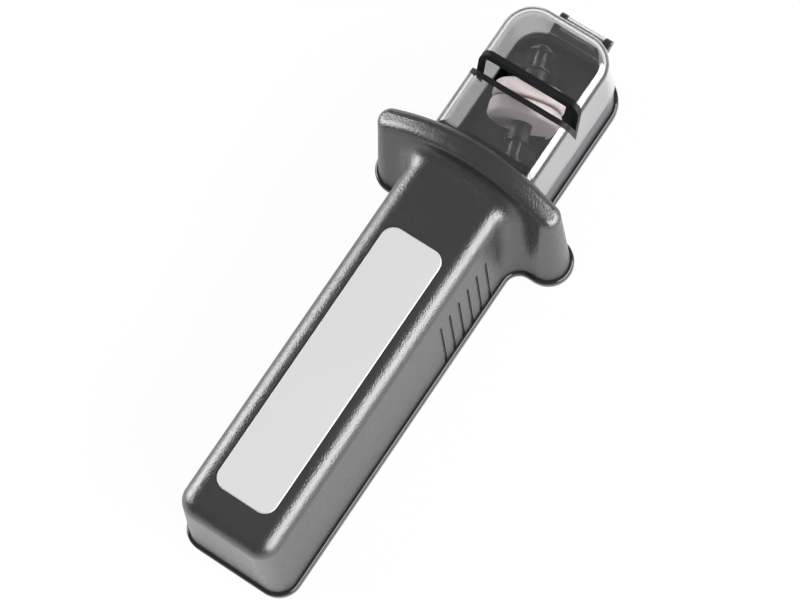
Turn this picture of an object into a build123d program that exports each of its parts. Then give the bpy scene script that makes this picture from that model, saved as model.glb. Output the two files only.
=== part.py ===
"""A hand-held knife sharpener: a long grip with a guard, and a clear-lidded head.

Two ceramic wheels turn on one slanted axle in a shallow water tray under the lid.
Units are millimetres. X is across, +Y runs from the tail to the tip, +Z is up.
The origin is on the table, under the middle of the sharpener.
"""

import os
from math import asin, cos, radians, sin

from build123d import *

# Lengths from the tail to the tip
grip_length = 135.3
guard_depth = 17.0
hinge_reach = 7.2

# Base plate and its rim
grip_width = 44.0
guard_wing = 16.6
head_width = 42.0
base_thickness = 3.0
rim_overhang = 1.2
rim_round = 1.0
tail_corner = 8.4
rim_hollow = 5.0
foot_proud = 0.8

# Grip and guard shell
grip_height = 43.5
guard_rise = 8.5
shell_wall = 2.6
side_draft = 2.7
tail_draft = 4.4
grip_edge_round = 6.5
guard_edge_round = 3.2
guard_blend = 7.0
guard_top_narrowing = 3.0
guard_top_depth = 8.4
guard_end_round = 3.6
guard_bow = 3.3
guard_arch = 74.0
guard_front_lean = 5.3
inner_edge_round = 3.6
guard_inner_round = 0.8

# Side grooves beside the guard
groove_count = 6
groove_spacing = 5.2
groove_width = 1.5
groove_depth = 0.5
groove_length = 29.5
groove_slant = 9.3
groove_setback = 10.8
groove_low_end = -4.1

# Nameplate on the grip
plate_length = 101.4
plate_width = 22.6
plate_corner = 4.6
plate_thickness = 1.0
plate_edge = 0.3
plate_proud = 0.25
tape_thickness = 0.25
plate_gap = 0.2
plate_setback = 18.0

# Water tray in the head
tray_wall = 2.2
tray_floor = 2.2
tray_height = 14.5
tray_gap = 0.3
tray_corner = 11.0
hinge_bar_rise = 2.6

# Clear lid and its hinge
lid_wall = 1.9
lid_top_wall = 2.2
lid_draft = 0.3
lid_edge_round = 4.5
lid_inner_round = 2.4
lid_gap = 0.3
lid_tip_overhang = 1.5
hinge_rise = 2.4
hinge_pin_radius = 1.0
knuckle_radius = 1.9
knuckle_width = 14.6
lug_radius = 2.2
lug_width = 2.4
knuckle_gap = 0.3
pin_proud = 0.4
web_thickness = 1.2

# Blade slot in the lid, and the black lining along its edges
slot_width = 6.0
slot_lean = 1.3
lining_width = 2.0
lining_depth = 17.5

# Wheels on their slanted axle
axle_slant = 18.2
wheel_radius = 12.3
wheel_floor_gap = 6.2
wheel_headroom = 2.0
wheel_thickness = 5.6
wheel_edge = 1.1
wheel_spacing = 1.0
spacer_radius = 6.0
axle_radius = 2.5
collar_length = 6.5
collar_radius = 3.6
collar_edge = 0.5
washer_thickness = 0.5
washer_radius = 4.3
bearing_gap = 0.1
bearing_length = 5.8
bearing_width = 10.0
bearing_cap = 1.4
bearing_mouth = 4.3
running_clearance = 0.05
clip_gap = 0.2
clip_thickness = 0.8
clip_radius = 4.0
clip_groove = 0.4
axle_end = 1.4
axle_bevel = 0.4
axle_guard_gap = 2.068
axle_tip_gap = 5.08

# Screws and feet
screw_radius = 1.3
screw_bite = 10.0
head_radius = 2.8
head_height = 1.7
head_pocket_gap = 0.3
drive_width = 0.9
drive_length = 3.4
drive_depth = 0.9
boss_radius = 3.4
boss_sink = 0.8
screw_tip_gap = 1.5
tray_boss_height = 8.0
tray_screw_bite = 9.2
boss_to_wall = 1.0
boss_to_tail = 3.0
boss_to_guard = 12.0
guard_boss_height = 14.0
foot_radius = 5.0
foot_sink = 1.2
foot_edge = 0.4
foot_to_screw = 2.0

# Tolerance for picking out edges and corners by place
near = 0.01

# Heights worked out from the sizes above
base_low = foot_proud
base_top = base_low + base_thickness
floor_top = base_top + tray_floor
guard_height = grip_height + guard_rise
axle_height = floor_top + wheel_floor_gap + wheel_radius
lid_height = axle_height + wheel_radius + wheel_headroom + lid_top_wall

# Stations along the axle, measured from the middle of the wheels
wheel_in = wheel_spacing / 2
wheel_out = wheel_in + wheel_thickness
collar_out = wheel_out + collar_length
washer_out = collar_out + washer_thickness
bearing_in = washer_out + bearing_gap
bearing_out = bearing_in + bearing_length
clip_in = bearing_out + clip_gap
clip_out = clip_in + clip_thickness
axle_half = clip_out + axle_end
axle_x = -sin(radians(axle_slant))
axle_y = cos(radians(axle_slant))
axle_reach = axle_half * axle_y

# The head is as long as its axle needs, in front of a guard that leans over it
guard_lean = guard_front_lean / (guard_height - base_top)
lid_setback = guard_lean * (lid_height - base_top) + tray_gap - rim_overhang
wheel_setback = lid_wall + axle_guard_gap + axle_reach
head_length = lid_setback + wheel_setback + axle_reach + axle_tip_gap + tray_wall + rim_overhang

# Places from the tail to the tip
overall_length = grip_length + guard_depth + head_length + hinge_reach
tail_y = -overall_length / 2
guard_back = tail_y + grip_length
guard_y = guard_back + guard_depth / 2
guard_front = guard_back + guard_depth
lid_back = guard_front + lid_setback
wheel_y = lid_back + wheel_setback
slot_y = wheel_y + slot_lean
tip_y = guard_front + head_length
axle_plane = Plane(
    origin=(0, wheel_y, axle_height),
    x_dir=(-axle_y, axle_x, 0),
    z_dir=(axle_x, axle_y, 0),
)

# The shell stands inside the rim and leans in towards its top
grip_low_width = grip_width - 2 * rim_overhang
grip_top_width = grip_low_width - 2 * side_draft
grip_low_tail = tail_y + rim_overhang
grip_top_tail = grip_low_tail + tail_draft
grip_ceiling = grip_height - shell_wall
inner_corner = tail_corner - rim_overhang - shell_wall

guard_width = grip_width + 2 * guard_wing
guard_low_width = guard_width - 2 * rim_overhang
guard_low_depth = guard_depth - 2 * rim_overhang
guard_top_width = guard_low_width - 2 * guard_top_narrowing
guard_low_face = guard_front - rim_overhang
guard_top_face = guard_low_face + guard_front_lean
guard_end_x = guard_top_width / 2 - guard_end_round
grip_low_end = guard_low_face - shell_wall
grip_top_end = guard_top_face - shell_wall

# The plate lies in a seat in the grip's top
plate_start = tail_y + plate_setback
plate_end = plate_start + plate_length
plate_low = grip_height + plate_proud - plate_thickness
plate_seat = grip_height - plate_low + tape_thickness

# The grooves lie in the leaning side wall
wall_lean = side_draft / (grip_height - base_top)
groove_middle = groove_low_end + groove_length / 2
groove_x = grip_low_width / 2 - wall_lean * groove_middle
groove_y = guard_back - groove_setback
groove_plane = Plane(
    origin=(groove_x, groove_y, base_top + groove_middle),
    x_dir=(0, 1, 0),
    z_dir=(1, 0, wall_lean),
)

# The head stands inside the rim too, and its tray clears the leaning guard as its lid does
head_half = head_width / 2 - rim_overhang
head_end = tip_y - rim_overhang
tip_corner = tray_corner + rim_overhang
tray_back = guard_low_face + guard_lean * (tray_height - base_top) + tray_gap
hinge_y = tip_y + hinge_reach - lug_radius
hinge_z = tray_height + hinge_rise
hinge_bar_top = tray_height + hinge_bar_rise
lug_middle = knuckle_width / 2 + knuckle_gap + lug_width / 2
hinge_bar_width = 2 * lug_middle + lug_width
lid_low = tray_height + lid_gap
lid_inside = head_half - lid_wall
lid_end = head_end + lid_tip_overhang
lid_inside_end = lid_end - lid_wall
lid_inside_corner = tray_corner - lid_wall
ledge_reach = hinge_y - knuckle_radius - knuckle_gap - head_end
lining_span = slot_width + 2 * lining_width
slot_depth = lining_depth * slot_width / lining_span

# Screw and foot places, each seen from above
grip_screw_x = grip_top_width / 2 - shell_wall - boss_radius - boss_to_wall
grip_screw_tail = grip_top_tail + shell_wall + boss_radius + boss_to_tail
grip_screw_front = guard_back - boss_to_guard
guard_screw_x = guard_low_width / 2 - shell_wall - boss_radius - boss_to_tail
grip_screws = [(x, y) for x in (-grip_screw_x, grip_screw_x) for y in (grip_screw_tail, grip_screw_front)]
guard_screws = [(-guard_screw_x, guard_y), (guard_screw_x, guard_y)]
tray_screw_x = head_half - tray_wall - boss_radius + boss_sink
tray_screw_back = tray_back + tray_wall + boss_radius - boss_sink
tray_screw_tip = head_end - tray_corner - boss_radius
tray_screws_at = [(x, y) for x in (-tray_screw_x, tray_screw_x) for y in (tray_screw_back, tray_screw_tip)]
bearing_middle = (bearing_in + bearing_out) / 2
bearing_screws_at = [
    (side * bearing_middle * axle_x, wheel_y + side * bearing_middle * axle_y) for side in (-1, 1)
]
foot_x = grip_screw_x
foot_tail = grip_screw_tail + foot_radius + boss_radius + foot_to_screw
foot_tip = tray_screw_tip - foot_radius - boss_radius - foot_to_screw
feet_at = [(x, y) for x in (-foot_x, foot_x) for y in (foot_tail, guard_y, foot_tip)]

os.makedirs("parts", exist_ok=True)


def save(piece, name):
    """Label a finished piece and write it under its node's name."""
    piece.part.label = name
    export_step(piece.part, f"parts/{name}.step")


def underside(points, height):
    """Places on a level, looking up at it from below."""
    return [Plane(origin=(x, y, height), x_dir=(1, 0, 0), z_dir=(0, 0, -1)) for x, y in points]


def span(sketch_width, start, end, corner):
    """A rounded rectangle across X, from one Y to another."""
    with Locations((0, (start + end) / 2)):
        RectangleRounded(sketch_width, end - start, corner)


def head_plan(half_width, start, end, corner):
    """The head's plan: square at the guard, round at the tip."""
    span(2 * half_width, start, end, corner)
    with Locations((0, start + corner)):
        Rectangle(2 * half_width, 2 * corner)


# Base plate: one flat plate under grip, guard and head, with its rim standing out all round
with BuildPart() as base_plate:
    with BuildSketch(Plane.XY.offset(base_low)) as base_outline:
        span(grip_width, tail_y, guard_front - rim_overhang, tail_corner)
        with Locations((0, guard_y)):
            SlotOverall(guard_width, guard_depth)
        span(head_width, guard_back + rim_overhang, tip_y, tip_corner)
        waist = base_outline.vertices().filter_by(lambda v: abs(abs(v.X) - grip_width / 2) < near)
        fillet(waist.filter_by(lambda v: abs(v.Y - guard_back) < near), rim_hollow)
    extrude(amount=base_thickness)
    fillet(base_plate.faces().sort_by(Axis.Z)[-1].outer_wire().edges(), rim_round)
    screw_points = grip_screws + guard_screws + tray_screws_at + bearing_screws_at
    with Locations(*underside(screw_points, base_low)):
        CounterBoreHole(screw_radius, head_radius + head_pocket_gap, head_height + head_pocket_gap)
    with Locations(*underside(feet_at, base_low)):
        Hole(foot_radius, foot_sink)
save(base_plate, "base_plate")

# Hollow of the grip, cut from the shell below
with BuildPart() as grip_hollow:
    with BuildSketch(Plane.XY.offset(base_top)):
        span(grip_low_width - 2 * shell_wall, grip_low_tail + shell_wall, guard_y, inner_corner)
    with BuildSketch(Plane.XY.offset(grip_ceiling)):
        span(grip_top_width - 2 * shell_wall, grip_top_tail + shell_wall, guard_y, inner_corner)
    loft()
    fillet(grip_hollow.faces().sort_by(Axis.Z)[-1].edges(), inner_edge_round)


def crest_points(inset):
    """Where the arcs of the crest's plan meet on the right, and how far forward its middle reaches."""
    end = guard_end_round - inset
    end_y = guard_top_face - guard_bow - guard_end_round
    lag = guard_top_depth - guard_bow - guard_end_round - inset
    front_radius = (guard_end_x**2 + guard_bow**2 + 2 * guard_bow * end) / (2 * guard_bow)
    back_radius = (guard_end_x**2 + lag**2 - end**2) / (2 * (end - lag))
    front_turn = asin(guard_end_x / (front_radius - end))
    back_turn = asin(guard_end_x / (back_radius + end))
    front_meet = (guard_end_x + end * sin(front_turn), end_y + end * cos(front_turn))
    back_meet = (guard_end_x - end * sin(back_turn), end_y - end * cos(back_turn))
    front = guard_top_face - inset
    back = guard_top_face - guard_top_depth + inset
    return back_meet, (guard_end_x + end, end_y), front_meet, (0, front), (0, back)


def across(point):
    """The same place on the other side of the middle."""
    return (-point[0], point[1])


def guard_form(inset, edge):
    """The guard, smaller all round by an inset: a slot at its foot and an arched, bowed crest."""
    with BuildPart() as form:
        with BuildSketch(Plane.XY.offset(base_top)):
            with Locations((0, guard_y)):
                SlotOverall(guard_low_width - 2 * inset, guard_low_depth - 2 * inset)
        back_meet, side, front_meet, front, back = crest_points(inset)
        with BuildSketch(Plane.XY.offset(guard_height - inset)):
            with BuildLine():
                ThreePointArc(across(back_meet), back, back_meet)
                ThreePointArc(back_meet, side, front_meet)
                ThreePointArc(front_meet, front, across(front_meet))
                ThreePointArc(across(front_meet), across(side), across(back_meet))
            make_face()
        loft()
        with Locations((0, guard_y, guard_height - inset - guard_arch)):
            Cylinder(guard_arch, 2 * guard_depth, rotation=(90, 0, 0), mode=Mode.INTERSECT)
        fillet(form.faces().sort_by(Axis.Z)[-1].edges(), edge)
    return form.part


# Slanted grooves, cut into both sides of the grip
with BuildPart() as grooves:
    with BuildSketch(groove_plane):
        for step in range(groove_count):
            with Locations((-step * groove_spacing, 0)):
                SlotOverall(groove_length, groove_width, rotation=90 - groove_slant)
    extrude(amount=groove_depth, both=True)
    mirror(about=Plane.YZ)

# Grip and guard: one hollow moulding, open below, standing on the base plate
with BuildPart() as handle_shell:
    with BuildSketch(Plane.XY.offset(base_top)):
        span(grip_low_width, grip_low_tail, grip_low_end, tail_corner - rim_overhang)
    with BuildSketch(Plane.XY.offset(grip_height)):
        span(grip_top_width, grip_top_tail, grip_top_end, tail_corner - rim_overhang)
    loft()
    fillet(handle_shell.faces().sort_by(Axis.Z)[-1].edges(), grip_edge_round)
    add(guard_form(0, guard_edge_round))
    waist_edges = handle_shell.edges().filter_by(
        lambda e: abs(e.center().X) < grip_width / 2
        and guard_back < e.center().Y < grip_low_end
        and base_top + near < e.center().Z < grip_height + near
    )
    fillet(waist_edges, guard_blend)
    add(grip_hollow.part, mode=Mode.SUBTRACT)
    add(guard_form(shell_wall, guard_inner_round), mode=Mode.SUBTRACT)
    with BuildSketch(Plane.XY.offset(base_top)):
        with Locations(*grip_screws):
            Circle(boss_radius)
    extrude(amount=grip_ceiling + boss_sink - base_top)
    with BuildSketch(Plane.XY.offset(base_top)):
        with Locations(*guard_screws):
            Circle(boss_radius)
    extrude(amount=guard_boss_height)
    with Locations(*underside(grip_screws + guard_screws, base_top)):
        Hole(screw_radius, screw_bite)
    with BuildSketch(Plane.XY.offset(grip_height)):
        seat_corner = plate_corner + plate_gap
        span(plate_width + 2 * plate_gap, plate_start - plate_gap, plate_end + plate_gap, seat_corner)
    extrude(amount=-plate_seat, mode=Mode.SUBTRACT)
    add(grooves.part, mode=Mode.SUBTRACT)
save(handle_shell, "handle_shell")

# Nameplate: a bare satin plate, with the adhesive tape that holds it
with BuildPart() as nameplate:
    with BuildSketch(Plane.XY.offset(plate_low)):
        span(plate_width, plate_start, plate_end, plate_corner)
    extrude(amount=plate_thickness)
    chamfer(nameplate.faces().sort_by(Axis.Z)[-1].edges(), plate_edge)
save(nameplate, "nameplate")

with BuildPart() as nameplate_tape:
    with BuildSketch(Plane.XY.offset(plate_low - tape_thickness)):
        span(plate_width, plate_start, plate_end, plate_corner)
    extrude(amount=tape_thickness)
save(nameplate_tape, "nameplate_tape")

# Water tray: an open box on the base plate, with the lid's hinge lugs at its tip
with BuildPart() as wheel_tray:
    with BuildSketch(Plane.XY.offset(base_top)):
        head_plan(head_half, tray_back, head_end, tray_corner)
    extrude(amount=tray_height - base_top)
    with BuildSketch(Plane.XY.offset(floor_top)):
        tray_inside = head_half - tray_wall
        head_plan(tray_inside, tray_back + tray_wall, head_end - tray_wall, tray_corner - tray_wall)
    extrude(amount=tray_height - floor_top, mode=Mode.SUBTRACT)
    with BuildSketch(Plane.XY.offset(floor_top)):
        with Locations((0, head_end - tray_wall / 2)):
            Rectangle(hinge_bar_width, tray_wall)
    extrude(amount=hinge_bar_top - floor_top)
    with BuildSketch(Plane.XY.offset(hinge_z - lug_radius)):
        with Locations((0, head_end + ledge_reach / 2)):
            Rectangle(hinge_bar_width, ledge_reach)
    extrude(amount=hinge_bar_top - hinge_z + lug_radius)
    for side in (-1, 1):
        with BuildSketch(Plane.YZ.offset(side * lug_middle)):
            with BuildLine():
                lug_top = (hinge_y, hinge_z + lug_radius)
                lug_low = (hinge_y, hinge_z - lug_radius)
                RadiusArc(lug_low, lug_top, -lug_radius)
                Polyline(
                    lug_top,
                    (lid_end, hinge_bar_top),
                    (head_end, hinge_bar_top),
                    (head_end, hinge_z - lug_radius),
                    lug_low,
                )
            make_face()
            with Locations((hinge_y, hinge_z)):
                Circle(hinge_pin_radius, mode=Mode.SUBTRACT)
        extrude(amount=lug_width / 2, both=True)
    with BuildSketch(Plane.XY.offset(floor_top)):
        with Locations(*tray_screws_at):
            Circle(boss_radius)
    extrude(amount=tray_boss_height)
    with Locations(*underside(tray_screws_at, base_top)):
        Hole(screw_radius, tray_screw_bite)
    with Locations(*underside(bearing_screws_at, base_top)):
        Hole(screw_radius, tray_floor)
save(wheel_tray, "wheel_tray")

# Clear lid: a deep cover with a V slot for the blade, hinged at the tip
with BuildPart() as lid_hollow:
    with BuildSketch(Plane.XY.offset(lid_low)):
        head_plan(lid_inside, lid_back + lid_wall, lid_inside_end, lid_inside_corner)
    with BuildSketch(Plane.XY.offset(lid_height - lid_top_wall)):
        lid_top_end = lid_inside_end - lid_draft
        head_plan(lid_inside - lid_draft, lid_back + lid_wall, lid_top_end, lid_inside_corner)
    loft()
    fillet(lid_hollow.faces().sort_by(Axis.Z)[-1].edges(), lid_inner_round)

with BuildPart() as lid_shell:
    with BuildSketch(Plane.XY.offset(lid_low)):
        head_plan(head_half, lid_back, lid_end, tray_corner)
    with BuildSketch(Plane.XY.offset(lid_height)):
        head_plan(head_half - lid_draft, lid_back, lid_end - lid_draft, tray_corner)
    loft()
    lid_rim = lid_shell.faces().sort_by(Axis.Z)[-1].edges().sort_by(Axis.Y)
    fillet(lid_rim[1:], lid_edge_round)
    add(lid_hollow.part, mode=Mode.SUBTRACT)


def slot_wedge(width, depth):
    """The V across the lid that the blade is drawn through, which leads it to where the wheels meet."""
    low_y = slot_y - slot_lean * width / slot_width
    with BuildPart() as wedge:
        with BuildSketch(Plane.YZ):
            with BuildLine():
                Polyline(
                    (slot_y - width / 2, lid_height),
                    (low_y, lid_height - depth),
                    (slot_y + width / 2, lid_height),
                    close=True,
                )
            make_face()
        extrude(amount=head_width, both=True)
    return wedge.part


lining_wedge = slot_wedge(lining_span, lining_depth)

with BuildPart() as head_cover:
    add(lid_shell.part)
    add(lining_wedge, mode=Mode.SUBTRACT)
    with BuildSketch(Plane.XY.offset(lid_low)):
        with Locations((0, head_end)):
            Rectangle(hinge_bar_width + 2 * lid_gap, 2 * (lid_wall + lid_gap + tray_wall))
    extrude(amount=hinge_bar_top + lid_gap - lid_low, mode=Mode.SUBTRACT)
    with BuildSketch(Plane.YZ):
        with Locations((hinge_y, hinge_z)):
            Circle(knuckle_radius)
        web_top = hinge_z + knuckle_radius
        web_root = lid_end - lid_wall / 2
        with Locations(((hinge_y + web_root) / 2, web_top - web_thickness / 2)):
            Rectangle(hinge_y - web_root, web_thickness)
        with Locations((hinge_y, hinge_z)):
            Circle(hinge_pin_radius + running_clearance, mode=Mode.SUBTRACT)
    extrude(amount=knuckle_width / 2, both=True)
save(head_cover, "head_cover")

# Slot lining: a black saddle in the lid, across its top and down both walls to the ends of the V
with BuildPart() as slot_lining:
    add(lid_shell.part)
    add(lining_wedge, mode=Mode.INTERSECT)
    add(slot_wedge(slot_width, slot_depth), mode=Mode.SUBTRACT)
save(slot_lining, "slot_lining")

with BuildPart() as cover_hinge_pin:
    with BuildSketch(Plane.YZ):
        with Locations((hinge_y, hinge_z)):
            Circle(hinge_pin_radius)
    extrude(amount=lug_middle + lug_width / 2 + pin_proud, both=True)
save(cover_hinge_pin, "cover_hinge_pin")


def ring(name, start, end, outer, bore, edge):
    """A round piece on the axle between two stations, with rounded rims."""
    with BuildPart() as piece:
        with BuildSketch(axle_plane.offset(start)):
            Circle(outer)
            Circle(bore, mode=Mode.SUBTRACT)
        extrude(amount=end - start)
        if edge > 0:
            circles = piece.edges().filter_by(GeomType.CIRCLE)
            fillet(circles.filter_by(lambda e: abs(e.radius - outer) < near), edge)
    save(piece, name)


# Ceramic wheels, the spacer between them and the collars beside them
ring("front_wheel", -wheel_out, -wheel_in, wheel_radius, axle_radius, wheel_edge)
ring("rear_wheel", wheel_in, wheel_out, wheel_radius, axle_radius, wheel_edge)
ring("wheel_spacer", -wheel_in, wheel_in, spacer_radius, axle_radius, 0)
ring("front_collar", -collar_out, -wheel_out, collar_radius, axle_radius, collar_edge)
ring("rear_collar", wheel_out, collar_out, collar_radius, axle_radius, collar_edge)

# Steel axle with a clip groove near each end
with BuildPart() as axle:
    with BuildSketch(axle_plane.offset(-axle_half)):
        Circle(axle_radius)
    extrude(amount=2 * axle_half)
    chamfer(axle.edges().filter_by(GeomType.CIRCLE), axle_bevel)
    for groove_start in (-clip_out, clip_in):
        with BuildSketch(axle_plane.offset(groove_start)):
            Circle(axle_radius)
            Circle(axle_radius - clip_groove, mode=Mode.SUBTRACT)
        extrude(amount=clip_thickness, mode=Mode.SUBTRACT)
save(axle, "axle")

with BuildPart() as thrust_washers:
    for washer_start in (-washer_out, collar_out):
        with BuildSketch(axle_plane.offset(washer_start)):
            Circle(washer_radius)
            Circle(axle_radius, mode=Mode.SUBTRACT)
        extrude(amount=washer_thickness)
save(thrust_washers, "thrust_washers")

with BuildPart() as axle_clips:
    for clip_start in (-clip_out, clip_in):
        with BuildSketch(axle_plane.offset(clip_start)):
            Circle(clip_radius)
            Circle(axle_radius - clip_groove, mode=Mode.SUBTRACT)
        extrude(amount=clip_thickness)
save(axle_clips, "axle_clips")


def bearing(name, start, screw_at):
    """A block on the tray floor whose open-topped seat the axle snaps into."""
    with BuildPart() as block:
        with BuildSketch(axle_plane.offset(start)):
            block_height = axle_height + bearing_cap - floor_top
            with Locations((0, bearing_cap - block_height / 2)):
                Rectangle(bearing_width, block_height)
            Circle(axle_radius + running_clearance, mode=Mode.SUBTRACT)
            with Locations((0, bearing_cap)):
                Rectangle(bearing_mouth, 2 * bearing_cap, mode=Mode.SUBTRACT)
        extrude(amount=bearing_length)
        with Locations(*underside([screw_at], floor_top)):
            Hole(screw_radius, screw_bite - tray_floor)
    save(block, name)


bearing("front_bearing", -bearing_out, bearing_screws_at[0])
bearing("rear_bearing", bearing_in, bearing_screws_at[1])


def screws(name, points):
    """Pan-head screws with a cross recess, driven up from under the base plate."""
    head_top = base_low + head_pocket_gap + head_height
    with BuildPart() as group:
        with BuildSketch(Plane.XY.offset(head_top - head_height)):
            with Locations(*points):
                Circle(head_radius)
        extrude(amount=head_height)
        with BuildSketch(Plane.XY.offset(head_top - head_height)):
            with Locations(*points):
                Rectangle(drive_length, drive_width)
                Rectangle(drive_width, drive_length)
        extrude(amount=drive_depth, mode=Mode.SUBTRACT)
        with BuildSketch(Plane.XY.offset(head_top)):
            with Locations(*points):
                Circle(screw_radius)
        extrude(amount=base_top + screw_bite - screw_tip_gap - head_top)
    save(group, name)


screws("shell_screws", grip_screws + guard_screws)
screws("tray_screws", tray_screws_at)
screws("bearing_screws", bearing_screws_at)

# Rubber feet in shallow pockets under the base plate
with BuildPart() as rubber_feet:
    with BuildSketch():
        with Locations(*feet_at):
            Circle(foot_radius)
    extrude(amount=foot_proud + foot_sink)
    fillet(rubber_feet.edges().group_by(Axis.Z)[0], foot_edge)
save(rubber_feet, "rubber_feet")
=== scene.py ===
# %% [markdown]
# # A hand-held knife sharpener
#
# The real object is a long black grip with a hand guard and a head: two ceramic wheels under a clear lid.
# A knife drawn through the slot in the lid turns the wheels, which hone both sides of its edge.
# Its shapes are mouldings and turned pieces, so they come from the CAD model as they are.
# This lesson gives each piece the finish that the real one has, then lights it and sets the camera.

# %% Load the CAD frame
from math import cos, radians, sin

import bpy
from mathutils import Matrix, Vector

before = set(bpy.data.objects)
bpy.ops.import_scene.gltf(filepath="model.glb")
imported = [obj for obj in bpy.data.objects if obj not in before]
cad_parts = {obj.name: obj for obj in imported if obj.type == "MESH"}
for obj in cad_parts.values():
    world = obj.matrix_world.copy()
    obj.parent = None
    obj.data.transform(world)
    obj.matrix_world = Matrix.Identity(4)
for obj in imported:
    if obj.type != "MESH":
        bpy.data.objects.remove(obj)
scene = bpy.context.scene
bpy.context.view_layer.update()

# %% [markdown]
# ## A small kit for finishes
#
# Every finish is a Principled shader with a few nodes in front of it.
# The patterns could use UV maps, but CAD meshes have none that mean anything.
# Object coordinates are in metres and move with the piece, so a grain set in them keeps its real size
# and stays put on the lid and the wheels when they turn.

# %% Helpers that make materials and nodes


def principled(material):
    return material.node_tree.nodes["Principled BSDF"]


def new_finish(name, **sockets):
    """A material with one Principled shader, whose constant sockets are set by name."""
    material = bpy.data.materials.new(name)
    material.use_nodes = True
    for socket, value in sockets.items():
        principled(material).inputs[socket.replace("_", " ")].default_value = value
    return material


def add_node(material, kind, **settings):
    """A node with its own settings and its unlinked inputs set."""
    node = material.node_tree.nodes.new(kind)
    for key, value in settings.items():
        if key in node.inputs:
            node.inputs[key].default_value = value
        else:
            setattr(node, key, value)
    return node


def link(material, source, target):
    material.node_tree.links.new(source, target)


def coat_nodes(material, *nodes):
    """Puts a finish on CAD pieces by their names."""
    for name in nodes:
        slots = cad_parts[name].data.materials
        slots.clear()
        slots.append(material)
    print(material.name, "on", ", ".join(nodes))


print("materials so far", len(bpy.data.materials))

# %% [markdown]
# ## Patterns
#
# Real plastic, steel and ceramic are never quite even, so no piece has one flat colour.
# A painted image could carry the unevenness, but noise needs no file and has no seams.
# One noise tints a surface and varies its roughness, and the same or a finer one gives it relief.

# %% Helpers that make patterns


def grain(material, size, detail=2.0, stretch=(1, 1, 1)):
    """Soft noise whose spots are about this many metres across."""
    place = add_node(material, "ShaderNodeTexCoord").outputs["Object"]
    mapping = add_node(material, "ShaderNodeMapping", Scale=[s / size for s in stretch])
    noise = add_node(material, "ShaderNodeTexNoise", Scale=1.0, Detail=detail)
    link(material, place, mapping.inputs["Vector"])
    link(material, mapping.outputs["Vector"], noise.inputs["Vector"])
    return noise.outputs["Fac"]


def spread(material, source, low, high):
    """Turns a 0 to 1 pattern into a range of values."""
    node = add_node(material, "ShaderNodeMapRange", **{"To Min": low, "To Max": high})
    link(material, source, node.inputs["Value"])
    return node.outputs["Result"]


def between(material, factor, first, second):
    """Two colours mixed by a pattern."""
    ramp = add_node(material, "ShaderNodeValToRGB")
    ramp.color_ramp.elements[0].color = (*first, 1)
    ramp.color_ramp.elements[1].color = (*second, 1)
    link(material, factor, ramp.inputs["Fac"])
    return ramp.outputs["Color"]


def bump(material, height, depth):
    """Makes a pattern stand up from the surface by this many metres."""
    node = add_node(material, "ShaderNodeBump", Strength=1.0, Distance=depth)
    link(material, height, node.inputs["Height"])
    return node.outputs["Normal"]


def dress(material, pattern, tones, rough, relief, depth):
    """Lets one pattern set colour and roughness, and another the relief."""
    inputs = principled(material).inputs
    link(material, between(material, pattern, *tones), inputs["Base Color"])
    link(material, spread(material, pattern, *rough), inputs["Roughness"])
    link(material, bump(material, relief, depth), inputs["Normal"])
    print(material.name, "has roughness", rough, "and relief of", depth, "m")


# %% [markdown]
# ## Black grip with a fine grain
#
# The grip is moulded in a tool whose steel was spark-eroded, which leaves a fine, sandy grain.
# It shows as glitter in the highlights along the edges, and the flat top looks a soft charcoal.
# Modelling the grain would take millions of faces, so a bump does it, with spots half a millimetre across.
# The roughness varies a little too, because hands polish a grip.

# %% Grip finish
grip_black = new_finish("grip_black", Specular_IOR_Level=1.0)
sand = grain(grip_black, size=0.00055, detail=1.0)
rub = grain(grip_black, size=0.018)
dress(
    grip_black,
    pattern=rub,
    tones=[(0.011, 0.011, 0.012), (0.015, 0.015, 0.016)],
    rough=(0.24, 0.30),
    relief=sand,
    depth=0.00014,
)
coat_nodes(grip_black, "handle_shell")

# %% [markdown]
# ## Rim, tray, hubs and the painted shade along the slot
#
# The base plate's rim is polished, so a thin bright line runs along it.
# The tray is the same plastic with a slightly softer surface, and the small hubs inside are satin.
# The black strip on the slot lining piece is painted shade: it stands for the dark inside that the lid's
# rounded slot edges show by bending light, so it is the dullest and stays black in every light.
# Four finishes could be written out, but one function makes them: only tint, roughness and shine differ.

# %% Smooth black finishes
flow_size = 0.009
flow_dulling = 0.06
skin_size = 0.0012


def smooth_black(name, tones, rough, depth, shine=0.5):
    """A smooth black moulding with faint flow marks."""
    material = new_finish(name, Specular_IOR_Level=shine)
    flow = grain(material, flow_size, stretch=(1, 0.4, 1))
    skin = grain(material, skin_size)
    rough_range = (rough, rough + flow_dulling)
    dress(material, pattern=flow, tones=tones, rough=rough_range, relief=skin, depth=depth)
    return material


rim_tones = [(0.008, 0.008, 0.009), (0.012, 0.012, 0.013)]
tray_tones = [(0.016, 0.015, 0.019), (0.024, 0.022, 0.030)]
hub_tones = [(0.012, 0.012, 0.014), (0.018, 0.018, 0.020)]
# Painted shade: the slot strip's black stands for the dark inside seen through the lid's rounded slot
# edges.
painted_slot_shade_tones = [(0.006, 0.006, 0.007), (0.010, 0.010, 0.011)]
rim_black = smooth_black("rim_black", rim_tones, rough=0.10, depth=0.000004)
tray_black = smooth_black("tray_black", tray_tones, rough=0.22, depth=0.000008)
hub_black = smooth_black("hub_black", hub_tones, rough=0.36, depth=0.000004, shine=0.3)
painted_slot_shade = smooth_black("painted_slot_shade", painted_slot_shade_tones, rough=0.40, depth=0.000008, shine=0.12)
coat_nodes(rim_black, "base_plate")
coat_nodes(painted_slot_shade, "slot_lining")
coat_nodes(tray_black, "wheel_tray")
coat_nodes(hub_black, "front_collar", "rear_collar", "wheel_spacer", "thrust_washers")
coat_nodes(hub_black, "front_bearing", "rear_bearing")

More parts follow.
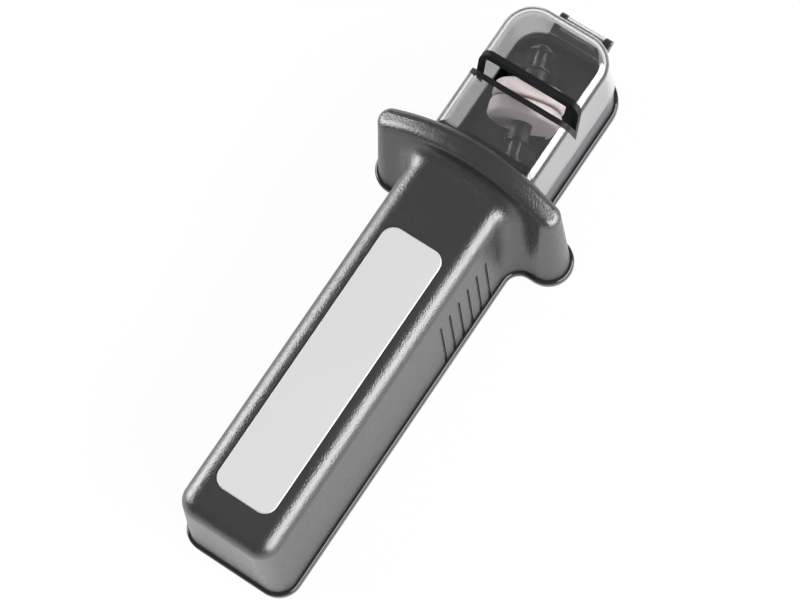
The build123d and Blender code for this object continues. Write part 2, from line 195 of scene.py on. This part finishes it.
# %% [markdown]
# ## Bare satin plate
#
# The plate on the grip is thin sheet with a pale satin face, and it carries no marks.
# A brushed look could come from anisotropy, but the real face looks blasted, not brushed.
# So it gets a very fine grain, a faint drift in tone and a little metal in the shader.

# %% Plate and tape finishes
plate_satin = new_finish("plate_satin", Metallic=0.15, Specular_IOR_Level=0.4)
drift = grain(plate_satin, size=0.035)
blast = grain(plate_satin, size=0.0003)
dress(
    plate_satin,
    pattern=drift,
    tones=[(0.43, 0.432, 0.435), (0.47, 0.47, 0.47)],
    rough=(0.46, 0.54),
    relief=blast,
    depth=0.000008,
)
coat_nodes(plate_satin, "nameplate")

tape_white = new_finish("tape_white", Roughness=0.75)
fibre = grain(tape_white, size=0.0008, stretch=(1, 0.2, 1))
tape_tone = between(tape_white, fibre, (0.68, 0.68, 0.65), (0.8, 0.8, 0.77))
link(tape_white, tape_tone, principled(tape_white).inputs["Base Color"])
coat_nodes(tape_white, "nameplate_tape")

# %% [markdown]
# ## Clear lid
#
# The lid is one clear, faintly smoky moulding with walls about two millimetres thick.
# A thin see-through sheet would be cheaper, but the solid walls bend light: that is what makes
# the rounded edges bright and shifts what is seen behind them.
# So the lid is a real solid with full transmission, and its surface has the slight ripple of a moulding.
# A hard coat, such as keeps clear plastic from scratches, makes its walls mirror the table more strongly.

# %% Lid finish
clear_lid = new_finish("clear_lid", Transmission_Weight=1.0, IOR=1.57, Coat_Weight=0.9)
ripple = grain(clear_lid, size=0.012)
dress(
    clear_lid,
    pattern=ripple,
    tones=[(0.84, 0.845, 0.85), (0.88, 0.88, 0.885)],
    rough=(0.015, 0.04),
    relief=ripple,
    depth=0.00002,
)
coat_nodes(clear_lid, "head_cover")

# %% [markdown]
# ## Ceramic wheels
#
# The wheels are sintered abrasive: fine pinkish-white grains with a dry, chalky surface.
# The grains are too small to model, so one fine noise gives both the speckle and the tooth.

# %% Wheel finish
ceramic_pink = new_finish("ceramic_pink", Specular_IOR_Level=0.3)
speckle = grain(ceramic_pink, size=0.0005, detail=4.0)
dress(
    ceramic_pink,
    pattern=speckle,
    tones=[(0.52, 0.43, 0.44), (0.76, 0.69, 0.68)],
    rough=(0.55, 0.8),
    relief=speckle,
    depth=0.00005,
)
coat_nodes(ceramic_pink, "front_wheel", "rear_wheel")

# %% [markdown]
# ## Steel and rubber
#
# The hinge pin is ground bright, and the axle, its clips and the screws are blackened against rust.
# Grinding leaves fine lines round the pin, which lies across the sharpener.
# Real scratches would be far too many, so a noise is stretched along the sharpener instead.
# The feet are soft matt rubber with a dusty face.

# %% Small hardware finishes
line_size = 0.0006
line_depth = 0.000006
line_dulling = 0.12


def steel(name, tones, rough):
    """Bare metal with fine lines that run along the sharpener."""
    material = new_finish(name, Metallic=1.0)
    lines = grain(material, line_size, stretch=(1, 0.1, 1))
    rough_range = (rough, rough + line_dulling)
    dress(material, pattern=lines, tones=tones, rough=rough_range, relief=lines, depth=line_depth)
    return material


bright_steel = steel("bright_steel", [(0.50, 0.50, 0.51), (0.68, 0.68, 0.69)], rough=0.2)
dark_steel = steel("dark_steel", [(0.03, 0.03, 0.032), (0.06, 0.06, 0.064)], rough=0.32)
coat_nodes(bright_steel, "cover_hinge_pin")
coat_nodes(dark_steel, "axle", "axle_clips", "shell_screws", "tray_screws", "bearing_screws")

foot_rubber = new_finish("foot_rubber", Specular_IOR_Level=0.3)
dust = grain(foot_rubber, size=0.0015, detail=4.0)
dress(
    foot_rubber,
    pattern=dust,
    tones=[(0.02, 0.02, 0.02), (0.05, 0.05, 0.048)],
    rough=(0.7, 0.9),
    relief=dust,
    depth=0.00003,
)
coat_nodes(foot_rubber, "rubber_feet")

# %% [markdown]
# ## Floor and world
#
# The photograph has a white table that fills the view, and the sharpener's sides mirror it as a soft grey.
# Turning up the lamps would bleach the object, so the floor shows itself as white only to rays
# that look at it from the camera or through the clear lid.
# Reflections meet plain pale paint with the shadows that fall on it.
# The world is a plain grey, which the grip's flat top and the lid mirror as a soft charcoal.

# %% Floor


def seen_directly(material):
    """1 for rays from the camera or through the lid, else 0."""
    path = add_node(material, "ShaderNodeLightPath")
    larger = add_node(material, "ShaderNodeMath", operation="MAXIMUM")
    link(material, path.outputs["Is Camera Ray"], larger.inputs[0])
    link(material, path.outputs["Is Transmission Ray"], larger.inputs[1])
    return larger.outputs["Value"]


floor_half = 4.0
floor_paint = (0.75, 0.75, 0.75, 1)
floor_shown_white = 0.94
turns = [(-1, -1), (1, -1), (1, 1), (-1, 1)]
corners = [(x * floor_half, y * floor_half, 0) for x, y in turns]
floor_mesh = bpy.data.meshes.new("floor")
floor_mesh.from_pydata(corners, [], [(0, 1, 2, 3)])
floor = bpy.data.objects.new("floor", floor_mesh)
scene.collection.objects.link(floor)

table_white = new_finish("table_white", Roughness=0.9, Specular_IOR_Level=0.1, Base_Color=floor_paint)
glow = add_node(table_white, "ShaderNodeEmission", Strength=1.0)
share = add_node(table_white, "ShaderNodeMath", operation="MULTIPLY")
share.inputs[1].default_value = floor_shown_white
mixer = add_node(table_white, "ShaderNodeMixShader")
surface = table_white.node_tree.nodes["Material Output"].inputs["Surface"]
link(table_white, seen_directly(table_white), share.inputs[0])
link(table_white, share.outputs["Value"], mixer.inputs["Fac"])
link(table_white, principled(table_white).outputs["BSDF"], mixer.inputs[1])
link(table_white, glow.outputs["Emission"], mixer.inputs[2])
link(table_white, mixer.outputs["Shader"], surface)
floor_mesh.materials.append(table_white)
print("floor", 2 * floor_half, "m square")

# %% World light
world_grey = (0.33, 0.33, 0.335, 1)
world = bpy.data.worlds.new("studio")
scene.world = world
world.use_nodes = True
backdrop = world.node_tree.nodes["Background"]
backdrop.inputs["Color"].default_value = world_grey
backdrop.inputs["Strength"].default_value = 1.0
print("world", world.name)

# %% [markdown]
# ## Soft boxes
#
# A large soft box stands on each side, and the two draw the bright bands along the grip's top edges.
# One lamp above would be simpler, but the flat lid would mirror it, and it would bleach the grip's top.
# The left box reaches less far towards the tip, so the lid's left edge stays grey.
# The tail side has no lamp, which leaves the rounded tail edge dark, as it is in the photograph.

# %% Lamps


def soft_box(name, place_at, aim_at, width, height, watts):
    """A rectangular lamp that faces a point."""
    lamp = bpy.data.lights.new(name, "AREA")
    lamp.shape = "RECTANGLE"
    lamp.size = width
    lamp.size_y = height
    lamp.energy = watts
    holder = bpy.data.objects.new(name, lamp)
    holder.location = place_at
    holder.rotation_euler = (Vector(aim_at) - Vector(place_at)).to_track_quat("-Z", "Y").to_euler()
    scene.collection.objects.link(holder)
    print("lamp", name, watts, "W")


soft_box("right_box", place_at=(0.9, 0.15, 0.42), aim_at=(0, 0, 0.02), width=1.4, height=0.8, watts=32)
soft_box("left_box", place_at=(-0.9, -0.2, 0.38), aim_at=(0, -0.2, 0.02), width=0.84, height=0.7, watts=17)

# %% [markdown]
# ## Camera
#
# The photograph looks down steeply from the right of the tail with a long lens, and the camera is rolled,
# so that the sharpener runs from the lower left to the upper right.
# Such a view could be set by eye, but here the place, the angles and the lens
# were fitted to the object's edges in the picture.

# %% Camera
view_azimuth = radians(59.229)
view_elevation = radians(73.004)
view_roll = radians(-25.995)
camera_place = Vector((0.266041, -0.16287, 1.032558))

flat = cos(view_elevation)
camera_back = Vector((sin(view_azimuth) * flat, -cos(view_azimuth) * flat, sin(view_elevation)))
level = Vector((cos(view_azimuth), sin(view_azimuth), 0))
upright = camera_back.cross(level)
camera_right = level * cos(view_roll) + upright * sin(view_roll)
camera_up = upright * cos(view_roll) - level * sin(view_roll)

lens = bpy.data.cameras.new("photo_camera")
lens.sensor_width = 36.0
lens.lens = 145.417
lens.clip_start = 0.05
camera = bpy.data.objects.new("photo_camera", lens)
axes = Matrix((camera_right, camera_up, camera_back)).transposed()
camera.matrix_world = Matrix.Translation(camera_place) @ axes.to_4x4()
scene.collection.objects.link(camera)
scene.camera = camera
scene.view_settings.view_transform = "Standard"
print("camera", [round(v, 3) for v in camera_place])
